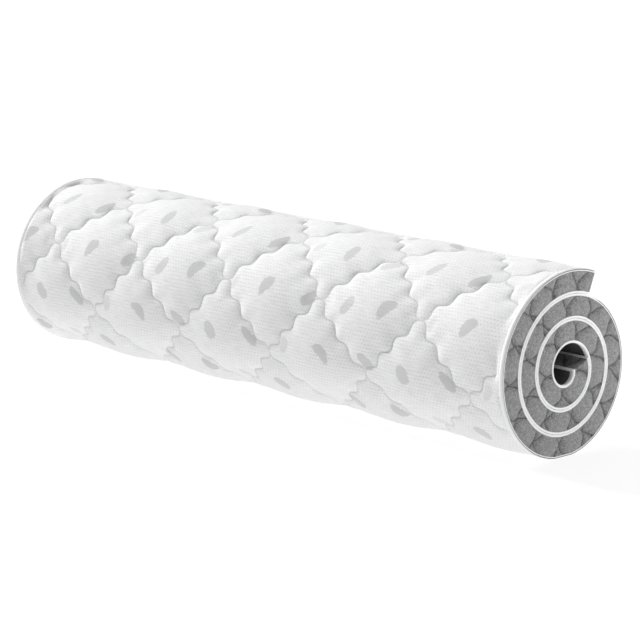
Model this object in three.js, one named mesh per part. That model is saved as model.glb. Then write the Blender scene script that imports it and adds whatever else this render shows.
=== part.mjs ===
// A rolled mattress, lying on its side with the winding axis along X.
// It is a thin double-bed mattress of 1600 x 2000 x 50 mm, wound nearly three times round a small open eye.
// Its pieces are a filled body whose narrow sides are a quilted border band, a quilted top panel that faces
// outwards, a plain bottom panel that faces inwards, and two binding tapes that edge the panels all round.
// Millimetres, +Z up. The origin is on the floor, under the middle of the roll.
// A place on the mattress is given by x along the roll, by the angle wound from the outer end, and by the
// depth below the outward face.
import * as THREE from "three";
import { mergeVertices } from "three/addons/utils/BufferGeometryUtils.js";

const { PI } = Math;
const TURN = 2 * PI;
const radians = (degrees) => (degrees * PI) / 180;

// Driving dimensions of the mattress and of its roll.
const MATTRESS_WIDTH = 1600;
const MATTRESS_LENGTH = 2000;
const THICKNESS = 50;
const LENGTH_KEEPING_DEPTH = 27.4; // winding stretches the layers above this depth and crowds those below it
const TURN_GAP = 1.6; // free space between one turn and the next
const TURNS = 2.83;
const FLAP_ANGLE = radians(67.5); // where the outer end lies, from +Y towards +Z
const INNER_END_SLANT = radians(22); // the outward face runs on this much further than the inward face
const SETTLED = 2; // how far the roll has sunk onto its flat spot
const FACET_ANGLE = radians(12);
const SLIVER = 3; // narrower strips than this are closed up

// Layers through the thickness, as depths below the outward face.
const CLEARANCE = 0.3;
const TAPE_THICKNESS = 4.2;
const TAPE_WIDTH = 12;
const BOTTOM_PANEL_THICKNESS = 3;
const BODY_TOP = TAPE_THICKNESS + CLEARANCE;
const BODY_BOTTOM = THICKNESS - BODY_TOP;
const PANEL_INSET = TAPE_WIDTH + CLEARANCE; // a panel stops short of the tape that binds it
const BORDER_RECESS = 1; // the border band lies this far inside the tapes' edges

// The top panel's quilting: wavy seams that cross in diamonds.
const DIAMOND = { along: 303, around: 295 };
const CROSSING = { x: -62, arc: 306 }; // one crossing, with its arc measured from the outer end
const WAVES_PER_DIAMOND = 7;
const WAVE_SWING = 7; // how far a seam swings to each side of its straight line
const CROWN = 3.5; // a pillow rises this far above the taped edge
const SEAM_DEPTH = 2.7; // a seam is drawn in this far below it
const PILLOW_EDGE_FADE = 40; // the relief dies away over this width along the panel's edges
const PLUMPNESS = 0.6; // power of the sine that rounds a pillow: the smaller, the flatter its middle

// The border band's quilting: crossing seams that leave one rounded lobe after another.
const LOBE = { pitch: 78, firstCrossing: 40, crossingLevel: 0.62, seamSlope: 0.69, seamHalfWidth: 2 };
const LOBE_RISE = 1.5;
const LOBE_SEAM_DEPTH = 2.5;
const BORDER_LEVELS = [0, 0.31, 0.62, 1]; // rows across the band, as shares of its height

// The winding, worked out from the layer that keeps the mattress's full length.
const PITCH = THICKNESS + TURN_GAP;
const WOUND = TURNS * TURN;
const OUTER_RADIUS = LENGTH_KEEPING_DEPTH + MATTRESS_LENGTH / WOUND + (PITCH * WOUND) / (2 * TURN);
const END_X = MATTRESS_WIDTH / 2;

const radiusAt = (wound, depth) => OUTER_RADIUS - (PITCH * wound) / TURN - depth;
const innerEnd = (depth) => WOUND + INNER_END_SLANT * (0.5 - depth / THICKNESS);

// The lowest point of the untouched outward face is where it runs level.
const LOWEST = 1.5 * PI - Math.atan(PITCH / TURN / OUTER_RADIUS) - FLAP_ANGLE;
const AXIS_HEIGHT = -radiusAt(LOWEST, 0) * Math.sin(LOWEST + FLAP_ANGLE) - SETTLED;

// Arc length from the outer end along the layer at a depth, and the wound angle at an arc length.
const arcAt = (wound, depth) => (OUTER_RADIUS - depth) * wound - (PITCH * wound ** 2) / (2 * TURN);
const woundAt = (arc, depth) => {
  const start = OUTER_RADIUS - depth;
  return (TURN / PITCH) * (start - Math.sqrt(start ** 2 - (2 * PITCH * arc) / TURN));
};

// A point on the spiral. Where the outer turn meets the floor its layers are pressed up, the lowest most.
function spiralPoint(x, wound, depth) {
  const angle = FLAP_ANGLE + wound;
  const radius = radiusAt(wound, depth);
  let z = AXIS_HEIGHT + radius * Math.sin(angle);
  if (wound < TURN) {
    const below = Math.max(0, -(AXIS_HEIGHT + radiusAt(wound, 0) * Math.sin(angle)));
    z = Math.max(0, z + below * Math.min(1, 1 - depth / THICKNESS));
  }
  return new THREE.Vector3(x, radius * Math.cos(angle), z);
}

// The same point on the flat facets that every nested layer shares, so that neighbours never cut each other.
function facetPoint(x, wound, depth) {
  const facet = Math.max(0, Math.floor(wound / FACET_ANGLE + 1e-9));
  const share = wound / FACET_ANGLE - facet;
  const start = spiralPoint(x, facet * FACET_ANGLE, depth);
  return start.lerp(spiralPoint(x, (facet + 1) * FACET_ANGLE, depth), share);
}

// The angles of the facets' edges between two wound angles, with both ends.
function stations(from, to) {
  const angles = [from];
  const least = FACET_ANGLE / 20;
  const first = Math.ceil((from + least) / FACET_ANGLE);
  for (let i = first; i * FACET_ANGLE < to - least; i++) angles.push(i * FACET_ANGLE);
  return [...angles, to];
}

// Fills the strip between two rows of points that run the same way. Each point has its place `at` along its
// row. Seen from outside, the second row lies to the left of the first.
function zip(triangles, first, second) {
  let a = 0;
  let b = 0;
  while (a < first.length - 1 || b < second.length - 1) {
    const secondDone = b === second.length - 1;
    const firstDone = a === first.length - 1;
    if (secondDone || (!firstDone && first[a + 1].at <= second[b + 1].at)) {
      triangles.push(first[a].point, first[a + 1].point, second[b].point);
      a += 1;
    } else {
      triangles.push(first[a].point, second[b + 1].point, second[b].point);
      b += 1;
    }
  }
}

const zipAll = (triangles, rows) => rows.slice(1).forEach((row, i) => zip(triangles, rows[i], row));
const WELD = 1e-3; // points nearer than this are one
const geometryOf = (points) => mergeVertices(new THREE.BufferGeometry().setFromPoints(points), WELD);

// A wound sheet of even thickness on a grid of x columns and wound angles. `covered` picks its cells.
function sheetGeometry(columns, angles, depths, covered) {
  const onGrid = (i, j) => i >= 0 && j >= 0 && i < columns.length - 1 && j < angles.length - 1;
  const filled = (i, j) => onGrid(i, j) && covered(i, j);
  const corner = (i, j, depth) => facetPoint(columns[i], angles[j], depth);
  const triangles = [];
  const quad = (a, b, c, d) => triangles.push(a, b, c, a, c, d);
  const [top, bottom] = depths;
  for (let i = 0; i < columns.length - 1; i++) {
    for (let j = 0; j < angles.length - 1; j++) {
      if (!filled(i, j)) continue;
      const ring = [[i, j], [i, j + 1], [i + 1, j + 1], [i + 1, j]];
      const beyond = [[i - 1, j], [i, j + 1], [i + 1, j], [i, j - 1]];
      quad(...ring.map(([m, n]) => corner(m, n, top)));
      quad(...ring.map(([m, n]) => corner(m, n, bottom)).reverse());
      ring.forEach((from, side) => {
        const to = ring[(side + 1) % 4];
        if (filled(...beyond[side])) return;
        quad(corner(...from, top), corner(...from, bottom), corner(...to, bottom), corner(...to, top));
      });
    }
  }
  return geometryOf(triangles);
}

// Binding tape: one frame that runs along both ends of the roll, the outer end and the inner end.
function tapeGeometry(depthTop, depthBottom) {
  const middle = (depthTop + depthBottom) / 2;
  const end = innerEnd(middle);
  const hem = end - TAPE_WIDTH / radiusAt(end, middle);
  const columns = [-END_X, TAPE_WIDTH - END_X, END_X - TAPE_WIDTH, END_X];
  const angles = [0, ...stations(woundAt(TAPE_WIDTH, middle), hem), ...stations(hem, end).slice(1)];
  const onFrame = (i, j) => i !== 1 || j === 0 || angles[j] >= hem;
  return sheetGeometry(columns, angles, [depthTop, depthBottom], onFrame);
}

// A panel fills the tape's frame, with a little room. It is cut square to its faces at both ends.
const PANEL_X = END_X - PANEL_INSET;
const panelStart = (middle) => woundAt(PANEL_INSET, middle);
const panelEnd = (middle) => innerEnd(middle) - PANEL_INSET / radiusAt(innerEnd(middle), middle);

// Bottom panel: a plain sheet on the inward face.
function bottomPanelGeometry() {
  const top = THICKNESS - TAPE_THICKNESS;
  const bottom = top + BOTTOM_PANEL_THICKNESS;
  const middle = THICKNESS - TAPE_THICKNESS / 2;
  const angles = stations(panelStart(middle), panelEnd(middle));
  return sheetGeometry([-PANEL_X, PANEL_X], angles, [top, bottom], () => true);
}

// Quilting of the top panel, in the diamonds' own coordinates u and v. Seams run where either one is whole.
const quiltPlace = (u, v) => ({
  x: CROSSING.x + (DIAMOND.along * (u + v)) / 2,
  arc: CROSSING.arc + (DIAMOND.around * (u - v)) / 2,
});
const DIAMOND_SIDE = Math.hypot(DIAMOND.along, DIAMOND.around) / 2;
const SWING = WAVE_SWING / DIAMOND_SIDE;
// Goes evenly from 1 on an even seam to -1 on an odd one, because neighbouring seams swing opposite ways.
const seamSide = (u) => (Math.floor(u) % 2 === 0 ? 1 : -1) * (1 - 2 * (u - Math.floor(u)));
const swingOf = (across, along) => SWING * seamSide(across) * Math.sin(WAVES_PER_DIAMOND * PI * along);
const dome = (share) => Math.sin(PI * (share - Math.floor(share))) ** PLUMPNESS;
const fade = (distance) => THREE.MathUtils.smoothstep(distance, 0, PILLOW_EDGE_FADE);

// Lines lie on the seams and at the waves' turning points, where a seam needs them.
function quiltLine(i) {
  const count = WAVES_PER_DIAMOND + 1;
  const step = ((i % count) + count) % count;
  return Math.floor(i / count) + (step ? (step - 0.5) / WAVES_PER_DIAMOND : 0);
}

// Cuts a polygon of flat points to the part of the panel where `keep` is positive.
function cutPolygon(polygon, keep) {
  return polygon.flatMap((a, i) => {
    const b = polygon[(i + 1) % polygon.length];
    const [ka, kb] = [keep(a), keep(b)];
    const kept = ka >= 0 ? [a] : [];
    if (ka * kb < 0) kept.push(a.clone().lerp(b, ka / (ka - kb)));
    return kept;
  });
}

// Top panel: its outer turn is quilted, and the turns inside it are pressed flat.
function topPanelGeometry() {
  const start = panelStart(TAPE_THICKNESS / 2);
  const end = panelEnd(TAPE_THICKNESS / 2);
  const low = { x: -PANEL_X, arc: arcAt(start, 0) };
  const high = { x: PANEL_X, arc: arcAt(TURN, 0) };
  // A line that comes close to the panel's edge ends on it, so that no sliver is left.
  const snap = (value, from, to) => {
    const nearest = Math.abs(value - from) < Math.abs(value - to) ? from : to;
    return Math.abs(value - nearest) < SLIVER ? nearest : value;
  };
  // A flat point holds x, the arc and the pillow's height there.
  const flatPoint = (u, v) => {
    const { x, arc } = quiltPlace(u + swingOf(u, v), v + swingOf(v, u));
    const height = (CROWN + SEAM_DEPTH) * dome(u) * dome(v) - SEAM_DEPTH;
    return new THREE.Vector3(snap(x, low.x, high.x), snap(arc, low.arc, high.arc), height);
  };
  // How far a flat point lies inside each edge, in the order of the rows kept below.
  const sides = {
    low: (p) => p.x - low.x,
    high: (p) => high.x - p.x,
    start: (p) => p.y - low.arc,
    stop: (p) => high.arc - p.y,
  };
  const onEdge = (distance) => Math.abs(distance) < WELD;
  const solidPoint = (p) => {
    const distances = Object.values(sides).map((side) => side(p));
    const relief = distances.reduce((height, distance) => height * fade(distance), p.z);
    return spiralPoint(p.x, woundAt(p.y, 0), distances.some(onEdge) ? 0 : -relief);
  };

  const triangles = [];
  const rim = { low: new Map(), high: new Map(), start: new Map(), stop: new Map() };
  function addPolygon(polygon) {
    for (let k = 2; k < polygon.length; k++) {
      const flat = [polygon[0], polygon[k - 1], polygon[k]];
      const [a, b] = [flat[1].clone().sub(flat[0]), flat[2].clone().sub(flat[0])];
      if (Math.abs(a.x * b.y - a.y * b.x) > WELD) triangles.push(...flat.map(solidPoint));
    }
    for (const p of polygon) {
      for (const [name, side] of Object.entries(sides)) {
        const at = name === "low" || name === "high" ? woundAt(p.y, 0) : p.x;
        if (onEdge(side(p))) rim[name].set(at.toFixed(5), { at, point: solidPoint(p) });
      }
    }
  }
  const diamonds = Math.ceil(MATTRESS_WIDTH / DIAMOND.along + high.arc / DIAMOND.around);
  const reach = diamonds * (WAVES_PER_DIAMOND + 1);
  for (let i = -reach; i < reach; i++) {
    for (let j = -reach; j < reach; j++) {
      const [u, v, nextU, nextV] = [quiltLine(i), quiltLine(j), quiltLine(i + 1), quiltLine(j + 1)];
      const [a, b] = [flatPoint(u, v), flatPoint(nextU, v)];
      const [c, d] = [flatPoint(nextU, nextV), flatPoint(u, nextV)];
      addPolygon(Object.values(sides).reduce(cutPolygon, [a, b, c]));
      addPolygon(Object.values(sides).reduce(cutPolygon, [a, c, d]));
    }
  }
  const rimRow = (name) => [...rim[name].values()].sort((a, b) => a.at - b.at);

  // The turns under the outer one, the inward face and the four cut edges.
  const across = (wound, depth) =>
    [-PANEL_X, PANEL_X].map((x) => ({ at: x, point: facetPoint(x, wound, depth) }));
  const hiddenAngles = stations(TURN, end).slice(1);
  const inwardAngles = stations(start, end);
  const hidden = hiddenAngles.map((wound) => across(wound, 0));
  const inward = inwardAngles.map((wound) => across(wound, TAPE_THICKNESS));
  const hiddenEdge = (side) => hiddenAngles.map((at, i) => ({ at, point: hidden[i][side].point }));
  const inwardEdge = (side) => inwardAngles.map((at, i) => ({ at, point: inward[i][side].point }));
  zipAll(triangles, [rimRow("stop"), ...hidden].reverse());
  zipAll(triangles, inward);
  zip(triangles, inwardEdge(0), [...rimRow("low"), ...hiddenEdge(0)]);
  zip(triangles, [...rimRow("high"), ...hiddenEdge(1)], inwardEdge(1));
  zip(triangles, rimRow("start"), inward[0]);
  zip(triangles, inward.at(-1), hidden.at(-1));
  return geometryOf(triangles);
}

// Border band: how far a lobe stands out at a place along a run of the band with two sewn ends.
const isSewn = (level) => level === 0 || level === 1;
const seamGap = (level) =>
  LOBE.seamHalfWidth + Math.abs(level - LOBE.crossingLevel) * (BODY_BOTTOM - BODY_TOP) * LOBE.seamSlope;
function lobeRelief(along, level, length) {
  if (isSewn(level) || along <= 0 || along >= length) return 0;
  const gap = seamGap(level);
  const intoLobe = ((((along - LOBE.firstCrossing) % LOBE.pitch) + LOBE.pitch) % LOBE.pitch) - gap;
  const share = intoLobe / (LOBE.pitch - 2 * gap);
  const puff = share > 0 && share < 1 ? Math.sin(PI * share) ** PLUMPNESS : 0;
  return (LOBE_RISE + LOBE_SEAM_DEPTH) * puff - LOBE_SEAM_DEPTH;
}
// Places along a run where a seam or a lobe's crown needs a point, apart from those near the kept ones.
function lobePlaces(level, length, kept) {
  if (isSewn(level)) return kept;
  const gap = seamGap(level);
  const span = LOBE.pitch - 2 * gap;
  const places = [...kept];
  for (let crossing = LOBE.firstCrossing - LOBE.pitch; crossing < length; crossing += LOBE.pitch) {
    for (const place of [gap, gap + span / 3, gap + (2 * span) / 3, gap + span]) {
      const along = crossing + place;
      const free = places.every((other) => Math.abs(other - along) > SLIVER);
      if (along > 0 && along < length && free) places.push(along);
    }
  }
  return places.sort((a, b) => a - b);
}

// Body: the filled mattress. The border band is its two wound ends and its two straight ends.
function bodyGeometry() {
  const middle = THICKNESS / 2;
  const bandX = END_X - BORDER_RECESS;
  const depthAt = (level) => BODY_TOP + (BODY_BOTTOM - BODY_TOP) * level;
  const start = woundAt(BORDER_RECESS, middle);
  const endAt = (level) => {
    const depth = depthAt(level);
    return innerEnd(depth) - BORDER_RECESS / radiusAt(innerEnd(depth), depth);
  };
  const windRows = (side) =>
    BORDER_LEVELS.map((level) => {
      const from = arcAt(start, middle);
      const length = arcAt(endAt(level), middle) - from;
      const kept = stations(start, endAt(level)).map((wound) => arcAt(wound, middle) - from);
      return lobePlaces(level, length, kept).map((along) => {
        const x = side * (bandX + lobeRelief(along, level, length));
        const wound = along === 0 ? start : woundAt(from + along, middle);
        return { at: along, point: facetPoint(x, wound, depthAt(level)) };
      });
    });
  const near = windRows(1);
  const far = windRows(-1);
  const flap = BORDER_LEVELS.map((level) =>
    lobePlaces(level, 2 * bandX, [0, 2 * bandX]).map((along) => {
      const wound = start - lobeRelief(along, level, 2 * bandX) / OUTER_RADIUS;
      return { at: along, point: facetPoint(along - bandX, wound, depthAt(level)) };
    }),
  );
  const inner = BORDER_LEVELS.map((_, i) => [
    { at: 0, point: far[i].at(-1).point },
    { at: 1, point: near[i].at(-1).point },
  ]);
  const triangles = [];
  zipAll(triangles, near);
  zipAll(triangles, [...far].reverse());
  zipAll(triangles, flap);
  zipAll(triangles, inner.reverse());
  // The outward and inward faces run from one wound end to the other, and start on the straight end's points.
  const face = (level) => {
    const rows = near[level].map(({ point }, i) => [
      { at: 0, point: far[level][i].point },
      { at: 2 * bandX, point },
    ]);
    return [flap[level], ...rows.slice(1)];
  };
  zipAll(triangles, face(0).reverse());
  zipAll(triangles, face(BORDER_LEVELS.length - 1));
  return geometryOf(triangles);
}

const material = (color, roughness) => new THREE.MeshStandardMaterial({ color, roughness, metalness: 0 });
const whiteKnit = material(0xf2f2f2, 0.9);
const greyKnit = material(0x8f8f8f, 0.92);
const darkGreyKnit = material(0x585858, 0.9);
const whiteTwill = material(0xf7f7f7, 0.8);

const roll = new THREE.Group();
for (const [name, geometry, finish] of [
  ["filled_body_with_border", bodyGeometry(), greyKnit],
  ["quilted_top_panel", topPanelGeometry(), whiteKnit],
  ["bottom_panel", bottomPanelGeometry(), darkGreyKnit],
  ["top_binding_tape", tapeGeometry(0, TAPE_THICKNESS), whiteTwill],
  ["bottom_binding_tape", tapeGeometry(THICKNESS - TAPE_THICKNESS, THICKNESS), whiteTwill],
]) {
  const mesh = new THREE.Mesh(geometry, finish);
  mesh.name = name;
  roll.add(mesh);
}

// The winding axis lies to one side of the roll's middle, so the roll is moved back over the origin.
const extent = new THREE.Box3().setFromObject(roll);
roll.position.y = -(extent.min.y + extent.max.y) / 2;

export default roll;
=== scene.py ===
import math
import bmesh
import bpy
import numpy as np
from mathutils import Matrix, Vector


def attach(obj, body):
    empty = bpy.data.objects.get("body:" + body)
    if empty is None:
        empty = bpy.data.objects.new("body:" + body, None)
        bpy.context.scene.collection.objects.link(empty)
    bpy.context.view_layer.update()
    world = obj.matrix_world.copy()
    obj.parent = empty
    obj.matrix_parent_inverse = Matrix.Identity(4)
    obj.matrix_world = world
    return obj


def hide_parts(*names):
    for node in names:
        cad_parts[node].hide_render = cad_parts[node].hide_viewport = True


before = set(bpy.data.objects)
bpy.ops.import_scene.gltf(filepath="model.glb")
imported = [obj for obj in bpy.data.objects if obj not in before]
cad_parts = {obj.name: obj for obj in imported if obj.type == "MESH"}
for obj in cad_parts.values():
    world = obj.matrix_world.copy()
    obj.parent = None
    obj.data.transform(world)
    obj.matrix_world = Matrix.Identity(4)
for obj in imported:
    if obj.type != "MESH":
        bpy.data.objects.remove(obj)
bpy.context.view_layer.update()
bpy.ops.object.select_all(action="DESELECT")

# The filled mattress with its border, wound nearly three times.
# The border is a grey knit band, quilted to its wadding before it is sewn round the filling, so it stands out
# in rounded lobes between crossing seams. It shows on both wound ends, at the flap and inside the eye.
MM = 0.001
WIDTH = 1600 * MM
LENGTH = 2000 * MM
THICKNESS = 50 * MM
PITCH = 51.6 * MM                      # from one turn to the next
TURNS = 2.83
LENGTH_KEEPING_DEPTH = 27.4 * MM       # the layer that is neither stretched nor crowded by the winding
FLAP_ANGLE = math.radians(67.5)        # where the outer end lies, from +Y towards +Z
INNER_END_SLANT = math.radians(22)     # the outward face runs on this much further than the inward face
SETTLED = 2 * MM                       # the roll has sunk this far onto its flat spot
AXIS_Y = 13.24 * MM                    # the winding's axis lies to one side of the roll's middle
TURN = 2 * math.pi
WOUND = TURNS * TURN
OUTER_RADIUS = LENGTH_KEEPING_DEPTH + LENGTH / WOUND + PITCH * WOUND / (2 * TURN)
LOWEST = 1.5 * math.pi - math.atan(PITCH / TURN / OUTER_RADIUS) - FLAP_ANGLE
AXIS_Z = (OUTER_RADIUS - PITCH * LOWEST / TURN) * -math.sin(LOWEST + FLAP_ANGLE) - SETTLED


def wound_angle(arc, depth):
    """The angle wound from the outer end at an arc length along the layer at a depth."""
    start = OUTER_RADIUS - depth
    return TURN / PITCH * (start - np.sqrt(start ** 2 - 2 * PITCH * arc / TURN))


def arc_length(angle, depth):
    """The arc length along the layer at a depth, from the outer end to an angle wound."""
    return (OUTER_RADIUS - depth) * angle - PITCH * angle ** 2 / (2 * TURN)


def roll_up(x, wound, depth):
    """Places of the flat mattress in the roll. The floor presses the outer turn up where it meets it."""
    x, wound, depth = np.broadcast_arrays(x, wound, depth)
    angle = FLAP_ANGLE + wound
    outer_turn = wound < TURN
    outside = OUTER_RADIUS - PITCH * wound / TURN
    y = AXIS_Y + (outside - depth) * np.cos(angle)
    z = AXIS_Z + (outside - depth) * np.sin(angle)
    below = np.where(outer_turn, np.maximum(0, -(AXIS_Z + outside * np.sin(angle))), 0)
    z = z + below * np.minimum(1, 1 - depth / THICKNESS)
    return np.stack([x, y, np.where(outer_turn, np.maximum(0, z), z)], axis=1)


def make_piece(name, places, faces, layout, seam=None):
    """A piece from its places and faces, left selected. Its layout, the flat cut in metres, is its UV map."""
    mesh = bpy.data.meshes.new(name)
    mesh.from_pydata(places.tolist(), [], faces)
    corner_places = np.empty(len(mesh.loops), dtype=np.int32)
    mesh.loops.foreach_get("vertex_index", corner_places)
    mesh.uv_layers.new(name="cut")
    mesh.uv_layers["cut"].data.foreach_set("uv", layout[corner_places].astype(np.float32).ravel())
    if seam is not None:
        mesh.attributes.new("seam", "FLOAT", "POINT").data.foreach_set("value", seam.astype(np.float32))
    piece = bpy.data.objects.new(name, mesh)
    bpy.context.collection.objects.link(piece)
    bpy.ops.object.select_all(action="DESELECT")
    piece.select_set(True)
    bpy.context.view_layer.objects.active = piece
    return piece


def finish_surface(piece, sharp_degrees):
    """Triangulates many-sided faces, turns all faces outwards and smooths all edges but the sharp ones."""
    bm = bmesh.new()
    bm.from_mesh(piece.data)
    bmesh.ops.triangulate(bm, faces=[face for face in bm.faces if len(face.verts) > 4])
    bmesh.ops.recalc_face_normals(bm, faces=bm.faces)
    bm.to_mesh(piece.data)
    bm.free()
    bpy.ops.object.shade_smooth_by_angle(angle=math.radians(sharp_degrees))


def linear(hex_colour):
    """An sRGB hex colour as the linear colour that a shader takes."""
    values = [int(hex_colour[i:i + 2], 16) / 255 for i in (1, 3, 5)]
    return tuple(v / 12.92 if v <= 0.04045 else ((v + 0.055) / 1.055) ** 2.4 for v in values) + (1,)


def add(tree, kind, inputs=None, **settings):
    """Adds a node with its settings and sets or links its inputs. A node stands for its first output."""
    node = tree.nodes.new(kind)
    for key, value in settings.items():
        setattr(node, key, value)
    for key, value in (inputs or {}).items():
        if isinstance(value, bpy.types.Node):
            value = value.outputs[0]
        if isinstance(value, bpy.types.NodeSocket):
            tree.links.new(value, node.inputs[key])
        else:
            node.inputs[key].default_value = value
    return node


def smooth_step(distance, width):
    """Goes smoothly from 0 at no distance to 1 at the width and beyond."""
    share = np.clip(distance / width, 0, 1)
    return share * share * (3 - 2 * share)


# On the outer turn the quilting stands free, and its seams are drawn into the filling.
PANEL_INSET = 12.3 * MM                # from the mattress's edge to the panels', which the tape takes up
QUILT_BED = 4.1 * MM                   # how far the filling is drawn in under the quilting
BED_INSET = 14 * MM                    # from the panel's edge to the bed's full depth
FLAP_FADE = 16 * MM                    # from the flap to quilting that stands out in full
NEXT_TURN_FADE = 40 * MM               # the same, from where the next turn covers it
flap_arc = arc_length(wound_angle(PANEL_INSET, 0), 0)
full_turn_arc = arc_length(TURN, 0)


def quilted_share(wound):
    """How freely the quilting stands out: 1 on the outer turn, down to 0 at the flap and at the next turn."""
    arc = arc_length(wound, 0)
    return smooth_step(arc - flap_arc, FLAP_FADE) * smooth_step(full_turn_arc - arc, NEXT_TURN_FADE)


BAND_TOP = 4.5 * MM                    # depth of the band's upper edge
BAND_HEIGHT = 41 * MM
BAND_RECESS = 1 * MM                   # how far inside the mattress's edge the band is sewn on
BAND_STEP = 2.6 * MM
BAND_ROWS = 16
LOBE_PITCH = 78 * MM                   # from one crossing of the seams to the next
LOBE_DIAMOND_HEIGHT = 114 * MM
FIRST_CROSSING = 40 * MM
CROSSING_LEVEL = 0.63                  # the crossings' middle level, as a share of the band's height
CROSSING_DRIFT = 0.17                  # how far their level drifts up and down along the band
DRIFT_START = 60 * MM
DRIFT_LENGTH = 830 * MM
SEAM_LEAN = 0.6                        # a seam leans this much at its crossing
SEAM_BEND = 1.7                        # and bends over by this much towards the band's edges
WOBBLE = 0.03                          # unevenness of the seams, as a share of the pitch
WOBBLE_ALONG, WOBBLE_ACROSS, WOBBLE_START = 0.37, 3.1, 0.7
SECOND_WOBBLE = 0.7                    # the other family of seams wobbles less, by this share
LOBE_RISE = 3 * MM
LOBE_SEAM_DEPTH = 7 * MM
LOBE_SHOULDER = 7 * MM                 # how far from a seam a lobe has risen most of the way
LOBE_CROWN = 0.3                       # how much lower a lobe is at the band's edges than at its middle
SEWN_EDGE = 3.5 * MM                   # how far from the band's edges it has risen most of the way
CREASE_WIDTH = 1.3 * MM


def lobe_surface(along, share, length):
    """Height of the border's lobes, and how near each place is to a seam, from 1 on it to 0."""
    crossing = CROSSING_LEVEL + CROSSING_DRIFT * np.cos(TURN * (along - DRIFT_START) / DRIFT_LENGTH)
    a = (along - FIRST_CROSSING) / LOBE_PITCH
    b = (share - crossing) * BAND_HEIGHT / LOBE_DIAMOND_HEIGHT
    bent = SEAM_LEAN * b + SEAM_BEND * b * np.abs(b)
    wobble = WOBBLE * np.sin(TURN * (WOBBLE_ALONG * a + WOBBLE_ACROSS * b) + WOBBLE_START)
    side = math.hypot(LOBE_PITCH, LOBE_DIAMOND_HEIGHT) / 2
    gap_p = np.abs(np.sin(math.pi * (a + bent + wobble))) / math.pi * side
    gap_q = np.abs(np.sin(math.pi * (a - bent + SECOND_WOBBLE * wobble))) / math.pi * side
    rise = (1 - np.exp(-gap_p / LOBE_SHOULDER)) * (1 - np.exp(-gap_q / LOBE_SHOULDER))
    edge = np.minimum(np.minimum(share, 1 - share) * BAND_HEIGHT, np.minimum(along, length - along))
    sewn = 1 - np.exp(-np.maximum(edge, 0) / SEWN_EDGE)
    crown = 1 - LOBE_CROWN * (2 * share - 1) ** 2
    height = (LOBE_RISE + LOBE_SEAM_DEPTH) * rise * crown - LOBE_SEAM_DEPTH
    return height * sewn, np.exp(-np.minimum(gap_p, gap_q) / CREASE_WIDTH)


# The band is laid out round the flat mattress, one run after another, and each run ends at a corner. A
# station on it has its flat place, the way out of the mattress, and its place along its run and in the cut.
half_x = WIDTH / 2 - BAND_RECESS
low_arc = BAND_RECESS
high_arc = LENGTH - BAND_RECESS
corners = [(half_x, low_arc), (half_x, high_arc), (-half_x, high_arc), (-half_x, low_arc)]
RUN_STARTS = (0, 2.4, 4.2, 6.6)        # where each run begins in the cut, in metres, clear of the one before
GROUP = 4                              # stations that are joined across to the other end at a time
runs = []
for (x0, a0), (x1, a1), run_start in zip(corners, corners[1:] + corners[:1], RUN_STARTS):
    length = math.hypot(x1 - x0, a1 - a0)
    cells = GROUP * round(length / (GROUP * BAND_STEP))
    share = np.arange(cells) / cells
    runs.append(np.stack(np.broadcast_arrays(
        x0 + (x1 - x0) * share, a0 + (a1 - a0) * share, (a1 - a0) / length, (x0 - x1) / length,
        share * length, length, share * length + run_start)))
cells_long, cells_wide = runs[0].shape[1], runs[1].shape[1]
round_count = 2 * (cells_long + cells_wide)
flat_x, flat_arc, out_x, out_arc, run_along, run_length, cut_along = np.tile(
    np.concatenate(runs, axis=1), BAND_ROWS + 1)
level = np.repeat(np.linspace(0, 1, BAND_ROWS + 1), round_count)
height, seam = lobe_surface(run_along, level, run_length)
depth = BAND_TOP + level * BAND_HEIGHT
wound = wound_angle(flat_arc, LENGTH_KEEPING_DEPTH)
# The inner end's slant is spread over its last stretch.
SLANTED_STRETCH = 150 * MM
slanted = np.clip((flat_arc - (LENGTH - SLANTED_STRETCH)) / SLANTED_STRETCH, 0, 1)
wound = wound + INNER_END_SLANT * (0.5 - depth / THICKNESS) * slanted
wound = wound + out_arc * height / (OUTER_RADIUS - PITCH * wound / TURN - depth)
body_places = roll_up(flat_x + out_x * height, wound, depth)
body_faces = []
for row in range(BAND_ROWS):
    for i in range(round_count):
        j = (i + 1) % round_count
        base, below = row * round_count, (row + 1) * round_count
        body_faces.append((base + i, base + j, below + j, below + i))
# The panels hide the faces between the ends, so these join a group of stations at a time. On the outward
# side two rows of places, one near each end, hold the bed of the quilting.
bed_x = WIDTH / 2 - PANEL_INSET - BED_INSET
bed_stations = range(GROUP, cells_long - GROUP + 1, GROUP)
bed_wound = wound[list(bed_stations)]
bed_depth = BAND_TOP + QUILT_BED * quilted_share(bed_wound)
bed_places = [roll_up(side * bed_x, bed_wound, bed_depth) for side in (1, -1)]
bed = {i: len(body_places) + k for k, i in enumerate(bed_stations)}
bed_count = len(bed)
far_corner = 2 * cells_long + cells_wide
for base in (0, BAND_ROWS * round_count):
    for start in range(0, cells_long, GROUP):
        stop = start + GROUP
        near_edge = [base + i for i in range(start, stop + 1)]
        far_edge = [base + far_corner - i for i in range(stop, start - 1, -1)]
        if start == 0:
            far_edge += [base + i for i in range(far_corner + 1, round_count)]
        if stop == cells_long:
            near_edge += [base + i for i in range(cells_long + 1, cells_long + cells_wide)]
        last_bed = [bed[stop], bed[stop] + bed_count] if base == 0 and stop in bed else []
        first_bed = [bed[start] + bed_count, bed[start]] if base == 0 and start in bed else []
        if last_bed and first_bed:
            body_faces.append(near_edge + [last_bed[0], first_bed[1]])
            body_faces.append([first_bed[1], last_bed[0], last_bed[1], first_bed[0]])
            body_faces.append([first_bed[0], last_bed[1]] + far_edge)
        else:
            body_faces.append(near_edge + last_bed + far_edge + first_bed)
body_cut = np.stack([cut_along, level * BAND_HEIGHT], axis=1)
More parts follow.
